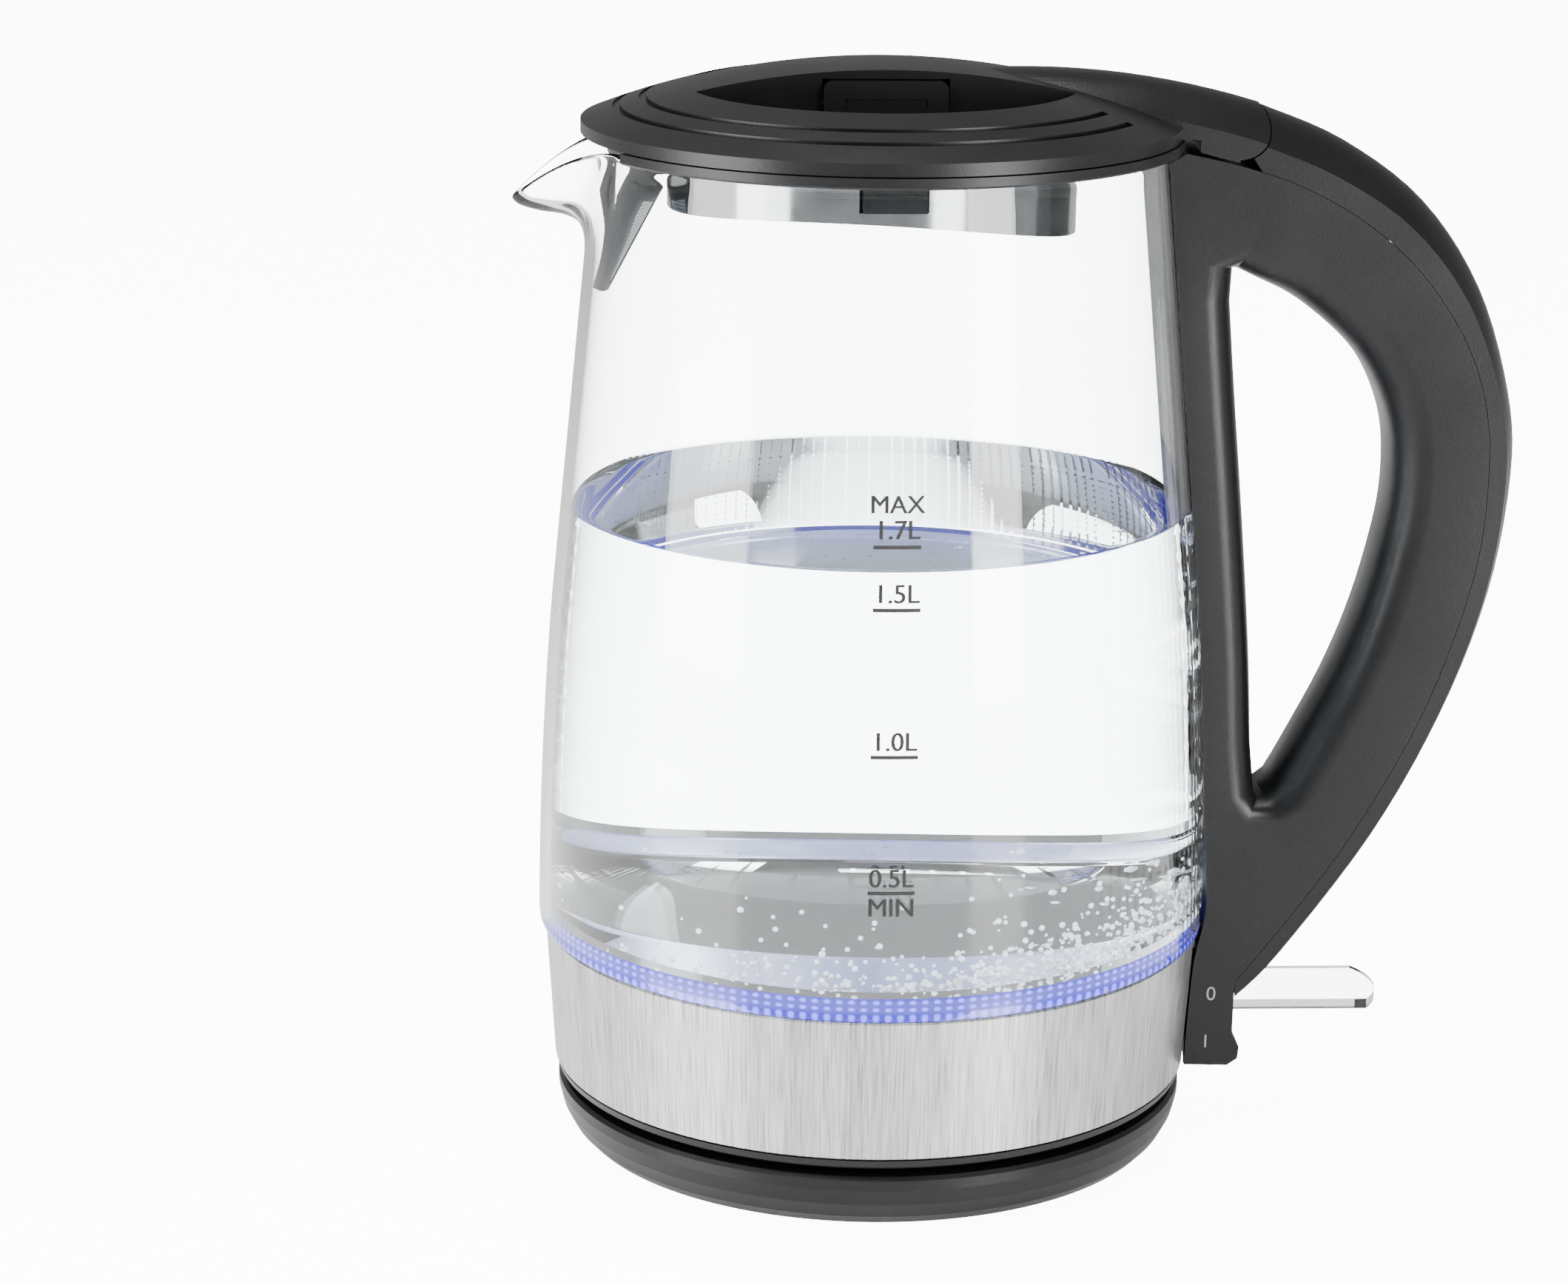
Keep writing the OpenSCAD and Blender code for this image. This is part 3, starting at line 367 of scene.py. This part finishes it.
def pieceFromBmesh(bm, name, material, body, smoothAngle=35):
    bmesh.ops.remove_doubles(bm, verts=bm.verts, dist=0.001 * mm)
    bmesh.ops.recalc_face_normals(bm, faces=bm.faces)
    mesh = bpy.data.meshes.new(name)
    bm.to_mesh(mesh)
    bm.free()
    piece = bpy.data.objects.new(name, mesh)
    bpy.context.collection.objects.link(piece)
    mesh.materials.append(material)
    mesh.shade_smooth()
    mesh.set_sharp_from_angle(angle=math.radians(smoothAngle))
    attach(piece, body)
    return piece


def applyModifiers(piece, smoothAngle=35):
    bpy.context.view_layer.update()
    graph = bpy.context.evaluated_depsgraph_get()
    finished = bpy.data.meshes.new_from_object(piece.evaluated_get(graph))
    piece.modifiers.clear()
    piece.data = finished
    finished.shade_smooth()
    finished.set_sharp_from_angle(angle=math.radians(smoothAngle))


def revolve(bm, profile, steps=128):
    # profile is (radius, height) in mm, closed when it starts and ends on the axis or on itself
    verts = [bm.verts.new((r * mm, 0, z * mm)) for r, z in profile]
    edges = [bm.edges.new((verts[i], verts[i + 1])) for i in range(len(verts) - 1)]
    bmesh.ops.spin(bm, geom=verts + edges, cent=(0, 0, 0), axis=(0, 0, 1), dvec=(0, 0, 0),
                   angle=math.tau, steps=steps, use_merge=True, use_duplicate=False)
    bmesh.ops.remove_doubles(bm, verts=bm.verts, dist=0.001 * mm)


# handle

handleShape = {
    "half": 13.4,
    # side outlines as (x, z) in mm, from the hinge down to the foot
    "outer": [[79.4, 237.4], [83.6, 235.9], [102, 228.2], [120, 215], [133.2, 196], [140.8, 173],
              [142.4, 154], [138.6, 127], [129, 98.8], [114.4, 70.2], [94.4, 42], [84.2, 31.6]],
    "seam": [[66, 226.9], [79, 223.9], [92, 219.4], [106, 211.5], [118, 201], [128, 187],
             [133.5, 173], [135.4, 157], [133.4, 132.5], [123.6, 101], [109.4, 73.4], [96.8, 54.4],
             [84, 37.6]],
    "window": [[77.2, 201.4], [81.4, 199.4], [90, 195], [99, 188.2], [106, 181.2], [111, 172.5],
               [114, 162], [114.2, 148], [111.6, 133.6], [107.8, 119.8], [102.4, 105.8], [95.5, 91.8],
               [90.4, 82]],
    "windowFoot": [[88.6, 79.8], [87.2, 79.6], [86.4, 81.2]],
    "columnRear": [[85.2, 93], [84.2, 112.7], [82.5, 133.6], [80.6, 154.2], [78.6, 174.6], [76.9, 194]],
    "columnFront": [[72, 16.4], [72.6, 30], [73.6, 42], [75.6, 52], [75.6, 62], [73.2, 93.5], [68, 150.2],
                    [63.6, 190.4], [60.8, 214], [59.6, 226.4]],
    # how far the crowned back drops at the side, for each outer point
    "crown": [7.2, 7.2, 7.0, 6.0, 4.6, 3.6, 3.1, 2.7, 2.4, 2.2, 2.0, 1.6],
    "gripRound": 9.0,
    "roundSteps": 7,
    "columnRound": 6.2,
    "seamGap": 0.06,
    "hinge": (77.3, 232.4),
    "seatRadius": 7.15,
}


def extrudeOutline(bm, faces, half):
    grown = bmesh.ops.extrude_face_region(bm, geom=faces)
    moved = [g for g in grown["geom"] if isinstance(g, bmesh.types.BMVert)]
    bmesh.ops.translate(bm, vec=(0, 2 * half * mm, 0), verts=moved)


def makeOuterShell(shape):
    half = shape["half"]
    outer = shiftLine(smoothLine(shape["outer"], 5), 0.02)
    seam = [p for p in shiftLine(smoothLine(shape["seam"]), -shape["seamGap"]) if p[0] > 79.4]
    loop = outer + [[83.4, 36.8]] + seam[::-1]
    bm = bmesh.new()
    verts = [bm.verts.new((x * mm, -half * mm, z * mm)) for x, z in loop]
    face = bm.faces.new(verts)
    extrudeOutline(bm, [face], half)
    drops = smoothLine([[d, 0] for d in shape["crown"]], 5)
    inward = {}
    for (x, z), (sx, sz), (drop, _) in zip(outer, shiftLine(outer, 1), drops):
        inward[(round(x, 2), round(z, 2))] = ((sx - x) * drop, (sz - z) * drop)

    def onCrown(v):
        return (round(v.co.x / mm, 2), round(v.co.z / mm, 2)) in inward

    across = [e for e in bm.edges
              if abs(e.verts[0].co.y - e.verts[1].co.y) > half * mm and onCrown(e.verts[0])]
    bmesh.ops.subdivide_edges(bm, edges=across, cuts=15, use_grid_fill=True)
    for v in bm.verts:
        key = (round(v.co.x / mm, 2), round(v.co.z / mm, 2))
        if key in inward:
            drop = (abs(v.co.y) / (half * mm)) ** 2.3
            v.co.x += inward[key][0] * drop * mm
            v.co.z += inward[key][1] * drop * mm
    piece = pieceFromBmesh(bm, "handleOuterShell", blackPolypropylene, "jug", 30)
    bm = bmesh.new()
    seat = shape["seatRadius"] * mm
    bmesh.ops.create_cone(bm, segments=96, radius1=seat, radius2=seat, depth=40 * mm, cap_ends=True)
    bmesh.ops.rotate(bm, verts=bm.verts, matrix=Matrix.Rotation(math.pi / 2, 3, "X"))
    bmesh.ops.translate(bm, vec=(shape["hinge"][0] * mm, 0, shape["hinge"][1] * mm), verts=bm.verts)
    cutWith(piece, [pieceFromBmesh(bm, "barrelCutter", blackPolypropylene, "jug")])
    return piece


def cutWith(piece, cutters):
    for cutter in cutters:
        cut = piece.modifiers.new("cut", "BOOLEAN")
        cut.operation = "DIFFERENCE"
        cut.solver = "EXACT"
        cut.object = cutter
        applyModifiers(piece, 30)
        bpy.data.objects.remove(cutter)


def makeInnerShell(shape):
    half = shape["half"]
    seam = shiftLine(smoothLine(shape["seam"]), shape["seamGap"])
    foot = [[83, 36.6], [82.9, 24], [84.6, 20.6], [84.3, 17.8], [82, 16.2]]
    outerLoop = seam + foot + smoothLine(shape["columnFront"], 3)
    window = smoothLine(shape["window"])
    rear = smoothLine(shape["columnRear"], 3)
    hole = window + shape["windowFoot"] + rear
    # the finger opening is rounded: one ring of its outline after the other, wider towards both sides
    steps = shape["roundSteps"]
    bm = bmesh.new()
    levels = []
    for k in range(2 * steps + 1):
        turn = math.pi * (k / (2 * steps)) - math.pi / 2
        lift = math.sin(turn)
        back = 1 - math.cos(turn)
        level = []
        for i, (x, z) in enumerate(hole):
            grip = min(1.0, max(0.0, (x - 84) / 8)) if i < len(window) else 0.0
            radius = shape["columnRound"] + (shape["gripRound"] - shape["columnRound"]) * grip
            (ax, az), (bx, bz) = hole[i - 1], hole[(i + 1) % len(hole)]
            size = math.hypot(bx - ax, bz - az)
            outX, outZ = -(bz - az) / size, (bx - ax) / size
            y = math.copysign(half - radius + radius * abs(lift), lift) if lift else 0.0
            out = radius * back
            level.append(bm.verts.new(((x + outX * out) * mm, y * mm, (z + outZ * out) * mm)))
        levels.append(level)
    count = len(hole)
    for near, far in zip(levels, levels[1:]):
        for i in range(count):
            bm.faces.new((near[i], near[(i + 1) % count], far[(i + 1) % count], far[i]))
    caps = []
    for level, y in ((levels[0], -half), (levels[-1], half)):
        ring = [bm.verts.new((x * mm, y * mm, z * mm)) for x, z in outerLoop]
        caps.append(ring)
        edges = [bm.edges.new((ring[i], ring[(i + 1) % len(ring)])) for i in range(len(ring))]
        edges += [bm.edges.get((level[i], level[(i + 1) % count])) for i in range(count)]
        bmesh.ops.triangle_fill(bm, use_beauty=True, use_dissolve=False, edges=edges)
    for i in range(len(outerLoop)):
        j = (i + 1) % len(outerLoop)
        bm.faces.new((caps[0][i], caps[0][j], caps[1][j], caps[1][i]))
    piece = pieceFromBmesh(bm, "handleInnerShell", blackPolypropylene, "jug", 30)

    cutters = []
    bm = bmesh.new()
    profile = [[0, 10], [72.9, 10], [72.9, 17.5], [74.9, 49.3]]
    profile += [[glassRadius(49.6 + 7 * i) + 0.2, 49.6 + 7 * i] for i in range(26)]
    profile += [[66.6, 226.6], [66.6, 245], [0, 245]]
    revolve(bm, profile)
    cutters.append(pieceFromBmesh(bm, "jugCutter", blackPolypropylene, "jug"))
    bm = bmesh.new()
    bmesh.ops.create_cube(bm, size=1)
    bmesh.ops.scale(bm, vec=(12 * mm, 23.4 * mm, 12 * mm), verts=bm.verts)
    bmesh.ops.translate(bm, vec=(84.2 * mm, 0, 30.3 * mm), verts=bm.verts)
    cutters.append(pieceFromBmesh(bm, "leverCutter", blackPolypropylene, "jug"))
    cutWith(piece, cutters)
    return piece


outerShell = makeOuterShell(handleShape)
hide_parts("handle_outer")
innerShell = makeInnerShell(handleShape)
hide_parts("handle_inner")
print("handle made")


# jug glass with its pressed spout

glassShape = {
    "wall": 2.4,
    "columns": 300,
    "spoutHalfAngle": 20.0,  # degrees
    "power": 1.9,
    # radius and height up the outside, over the rim and down the inside:
    # where the wall is plain, and along the middle of the spout
    "plain": [[65.2, 203.0], [64.8, 207.0], [64.4, 211.0], [64.0, 215.0], [63.6, 219.0], [63.1, 224.0],
              [62.9, 226.8], [62.5, 227.4], [61.6, 227.6], [60.8, 227.4], [60.5, 226.8],
              [60.7, 224.0], [61.2, 219.0], [61.6, 215.0], [62.0, 211.0], [62.4, 207.0], [62.8, 203.0]],
    "spout": [[65.2, 203.0], [65.3, 206.6], [66.6, 209.8], [70.2, 211.4], [74.6, 212.0], [79.0, 213.2],
              [80.7, 214.4], [80.9, 215.3], [80.2, 216.1], [79.2, 216.2], [78.4, 215.8],
              [76.6, 215.0], [72.0, 214.2], [67.6, 213.6], [64.3, 211.6], [62.9, 207.4], [62.8, 203.0]],
}


def makeGlass(shape):
    wall = shape["wall"]
    outside = [[74.6, 49.9], [glassRadius(50.6) - 0.2, 50.7]]
    outside += [[glassRadius(52 + 151 * i / 40), 52 + 151 * i / 40] for i in range(40)]
    inside = [[glassRadius(52 + 151 * i / 40) - wall, 52 + 151 * i / 40] for i in range(39, -1, -1)]
    inside += [[glassRadius(50.4) - wall, 50.4], [glassRadius(50) - wall + 0.3, 49.9]]
    plain = outside + smoothLine(shape["plain"], 3) + inside
    spout = outside + smoothLine(shape["spout"], 3) + inside
    bm = bmesh.new()
    rings = []
    for k in range(shape["columns"]):
        # columns crowd together at the spout
        t = (k + 0.5) / shape["columns"] * 2 - 1
        turn = math.pi * (0.45 * t + 0.55 * t ** 3)
        away = math.hypot(math.degrees(turn), 1.3) - 1.3
        rise = max(0.0, 1 - away / shape["spoutHalfAngle"]) ** shape["power"]
        ring = []
        for (r, z), (rs, zs) in zip(plain, spout):
            radius = r + (rs - r) * rise
            height = z + (zs - z) * rise ** 1.45
            x, y = -radius * math.cos(turn), -radius * math.sin(turn)
            ring.append(bm.verts.new((x * mm, y * mm, height * mm)))
        rings.append(ring)
    count = len(plain)
    for near, far in zip(rings, rings[1:] + rings[:1]):
        for i in range(count):
            bm.faces.new((near[i], near[(i + 1) % count], far[(i + 1) % count], far[i]))
    return pieceFromBmesh(bm, "blownGlassJug", jugGlass, "jug", 50)


glassJug = makeGlass(glassShape)
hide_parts("glass_jug")
print("glass made")


# water with its boiling bubbles

waterShape = {"level": 147.0, "floor": 50.3, "wall": 2.4, "meniscus": 1.1}


def makeWater(shape):
    top, wall = shape["level"], shape["wall"]
    profile = [[0, shape["floor"]], [66.5, shape["floor"]], [67.6, 51.2], [67.7, 55.1],
               [glassRadius(55.4) - wall, 55.2]]
    profile += [[glassRadius(56 + (top - 56) * i / 16) - wall, 56 + (top - 56) * i / 16] for i in range(17)]
    edge = glassRadius(top) - wall
    profile += [[edge - 0.1, top + shape["meniscus"]], [edge - 0.6, top + 0.45], [edge - 1.6, top + 0.1],
                [edge - 3.2, top], [0, top]]
    bm = bmesh.new()
    revolve(bm, profile, 160)
    cleanWater = clearBody("cleanWater", "#F7FBFF", 1.33, 0.0, 30, 0.03, "#EEF3F8")
    return pieceFromBmesh(bm, "boilingWater", cleanWater, "jug", 50)


bubbleSetup = {"count": 1100, "seed": 7, "size": (0.3, 0.85)}


def makeBubbles(setup):
    dice = random.Random(setup["seed"])
    bm = bmesh.new()
    for _ in range(setup["count"]):
        angle = math.radians(dice.gauss(-48, 38))
        ring = 65 - abs(dice.gauss(0, 8))
        height = 51.4 + abs(dice.gauss(0, 1)) ** 1.6 * 4.5
        if height > 80 or ring < 8:
            continue
        radius = dice.uniform(*setup["size"]) * mm
        made = bmesh.ops.create_icosphere(bm, subdivisions=1, radius=radius)
        place = (ring * math.cos(angle) * mm, ring * math.sin(angle) * mm, height * mm)
        bmesh.ops.translate(bm, vec=place, verts=made["verts"])
    # small bubbles look white: each one turns back nearly all the light that meets it
    steamBubble = mouldedPlastic("steamBubble", "#E4E8EC", "#FFFFFF", 0.12, 2, 0.0, 1.33)
    return pieceFromBmesh(bm, "waterBubbles", steamBubble, "jug", 60)


water = makeWater(waterShape)
bubbles = makeBubbles(bubbleSetup)
print("water made")


# litre marks printed on the glass

markInk = mouldedPlastic("screenPrintedInk", "#070708", "#0C0C0E", 0.6)
litreMarks = {
    "lift": 0.05,
    # words, with x, the height of their foot and their own height, in mm
    "texts": [("MAX", 0, 160.3, 3.9), ("1.7L", 0, 154.9, 4.1), ("1.5L", 0, 141.5, 4.1),
              ("1.0L", -0.2, 110.2, 4.1), ("0.5L", -0.5, 80.6, 4.1), ("MIN", -0.5, 74.2, 4.1)],
    "lines": [(0, 153.2), (0, 140.0), (-0.2, 108.8), (-0.5, 79.3)],
    "lineSize": (10.0, 0.8),
    "bold": 0.1,
}


def printedMark(bm, spot):
    # wraps flat artwork, drawn in X and Z, on the front of the glass
    for v in bm.verts:
        x, z = v.co.x / mm, v.co.z / mm
        out = glassRadius(z) + spot + (0.05 if v.co.y < 0 else 0)
        v.co.y = -math.sqrt(out * out - x * x) * mm


def makeMarks(setup):
    bm = bmesh.new()
    for text, x, z, height in setup["texts"]:
        curve = bpy.data.curves.new("markText", "FONT")
        curve.body = text
        curve.align_x = "CENTER"
        curve.size = height / 0.729 * mm
        curve.extrude = 0.02 * mm
        drawn = bpy.data.objects.new("markText", curve)
        bpy.context.collection.objects.link(drawn)
        bpy.context.view_layer.update()
        mesh = bpy.data.meshes.new_from_object(drawn.evaluated_get(bpy.context.evaluated_depsgraph_get()))
        for v in mesh.vertices:
            v.co = Vector((v.co.x + (x - setup["bold"]) * mm, -v.co.z, v.co.y + z * mm))
        for _ in range(3):
            bm.from_mesh(mesh)
            for v in mesh.vertices:
                v.co += Vector((setup["bold"] * mm, -0.006 * mm, 0.02 * mm))
        bpy.data.objects.remove(drawn)
        bpy.data.meshes.remove(mesh)
    for x, z in setup["lines"]:
        made = bmesh.ops.create_cube(bm, size=1)
        width, height = setup["lineSize"]
        bmesh.ops.scale(bm, vec=(width * mm, 0.04 * mm, height * mm), verts=made["verts"])
        bmesh.ops.translate(bm, vec=(x * mm, 0, z * mm), verts=made["verts"])
        long = [e for e in bm.edges
                if e.verts[0] in made["verts"] and abs(e.verts[0].co.x - e.verts[1].co.x) > 5 * mm]
        bmesh.ops.subdivide_edges(bm, edges=long, cuts=6)
    printedMark(bm, setup["lift"])
    return pieceFromBmesh(bm, "litreMarks", markInk, "jug", 30)


switchMarks = {"texts": [("0", 77.7, 32.1, 3.4), ("I", 76.8, 20.6, 3.2)], "side": 13.4}


def makeSwitchMarks(setup):
    bm = bmesh.new()
    for text, x, z, height in setup["texts"]:
        for side in (-1, 1):
            curve = bpy.data.curves.new("switchText", "FONT")
            curve.body = text
            curve.align_x = "CENTER"
            curve.size = height / 0.729 * mm
            curve.extrude = 0.03 * mm
            drawn = bpy.data.objects.new("switchText", curve)
            bpy.context.collection.objects.link(drawn)
            bpy.context.view_layer.update()
            mesh = bpy.data.meshes.new_from_object(drawn.evaluated_get(bpy.context.evaluated_depsgraph_get()))
            for v in mesh.vertices:
                y = side * (setup["side"] * mm + v.co.z)
                v.co = Vector((-side * v.co.x + x * mm, y, v.co.y + z * mm))
            bm.from_mesh(mesh)
            bpy.data.objects.remove(drawn)
            bpy.data.meshes.remove(mesh)
    ink = mouldedPlastic("padPrintedInk", "#6E6E70", "#7C7C7E", 0.5)
    return pieceFromBmesh(bm, "switchMarks", ink, "jug", 30)


footMarks = makeSwitchMarks(switchMarks)
marks = makeMarks(litreMarks)
print("marks made")


# studio

def makeFloor():
    bm = bmesh.new()
    bmesh.ops.create_grid(bm, x_segments=2, y_segments=2, size=8)
    mesh = bpy.data.meshes.new("studioFloor")
    bm.to_mesh(mesh)
    bm.free()
    floor = bpy.data.objects.new("studioFloor", mesh)
    bpy.context.collection.objects.link(floor)
    # backlit white acrylic: seen directly or through glass it is pure white,
    # but it lights the rest only softly
    material, tree, output, place = newMaterial("backlitWhiteAcrylic")
    cloud = addNode(tree, "ShaderNodeTexNoise", {}, {"Vector": place, "Scale": 4, "Detail": 2})
    colour = addNode(tree, "ShaderNodeMix", {"data_type": "RGBA"},
                     {0: cloud.outputs["Fac"], 6: linearColour("#F0F0F0"), 7: linearColour("#F6F6F6")})
    lightPath = addNode(tree, "ShaderNodeLightPath")
    bounced = addNode(tree, "ShaderNodeMath", {"operation": "ADD"},
                      {0: lightPath.outputs["Diffuse Depth"], 1: lightPath.outputs["Glossy Depth"]})
    seen = addNode(tree, "ShaderNodeMath", {"operation": "LESS_THAN"}, {0: bounced.outputs[0], 1: 0.5})
    shine = addNode(tree, "ShaderNodeMapRange", {}, {
        "Value": seen.outputs[0], "From Min": 0, "From Max": 1, "To Min": 0.24, "To Max": 11.0})
    shader = addNode(tree, "ShaderNodeBsdfPrincipled", {}, {
        "Base Color": colour.outputs[2], "Roughness": 0.22,
        "Emission Color": linearColour("#FFFFFF"), "Emission Strength": shine.outputs["Result"]})
    tree.links.new(shader.outputs[0], output.inputs["Surface"])
    mesh.materials.append(material)


def addSoftbox(name, place, size, power, aim=(0, 0, 120), colour="#FFFFFF"):
    light = bpy.data.lights.new(name, "AREA")
    light.shape = "RECTANGLE"
    light.size, light.size_y = size[0] * mm, size[1] * mm
    light.energy = power
    light.color = linearColour(colour)[:3]
    lamp = bpy.data.objects.new(name, light)
    lamp.location = [c * mm for c in place]
    lamp.rotation_euler = (Vector(aim) - Vector(place)).to_track_quat("-Z", "Y").to_euler()
    bpy.context.collection.objects.link(lamp)


studio = {
    "softboxes": [
        ("leftSoftbox", (-900, -420, 330), (620, 1000), 34),
        ("rightSoftbox", (560, -700, 300), (300, 900), 20),
        ("topSoftbox", (-200, 0, 1500), (900, 700), 30),
    ],
    "worldFront": 0.04,
    "worldBack": 0.34,
}
makeFloor()
for softbox in studio["softboxes"]:
    addSoftbox(*softbox)
world = bpy.data.worlds.new("studioWorld")
bpy.context.scene.world = world
world.use_nodes = True
worldTree = world.node_tree
worldTree.nodes.clear()
direction = addNode(worldTree, "ShaderNodeTexCoord").outputs["Generated"]
depth = addNode(worldTree, "ShaderNodeSeparateXYZ", {}, {0: direction}).outputs["Y"]
strength = addNode(worldTree, "ShaderNodeMapRange", {}, {
    "Value": depth, "From Min": -0.85, "From Max": 0.2,
    "To Min": studio["worldFront"], "To Max": studio["worldBack"]}).outputs["Result"]
background = addNode(worldTree, "ShaderNodeBackground", {},
                     {"Color": linearColour("#FFFFFF"), "Strength": strength})
addNode(worldTree, "ShaderNodeOutputWorld", {}, {"Surface": background.outputs[0]})
print("studio made")
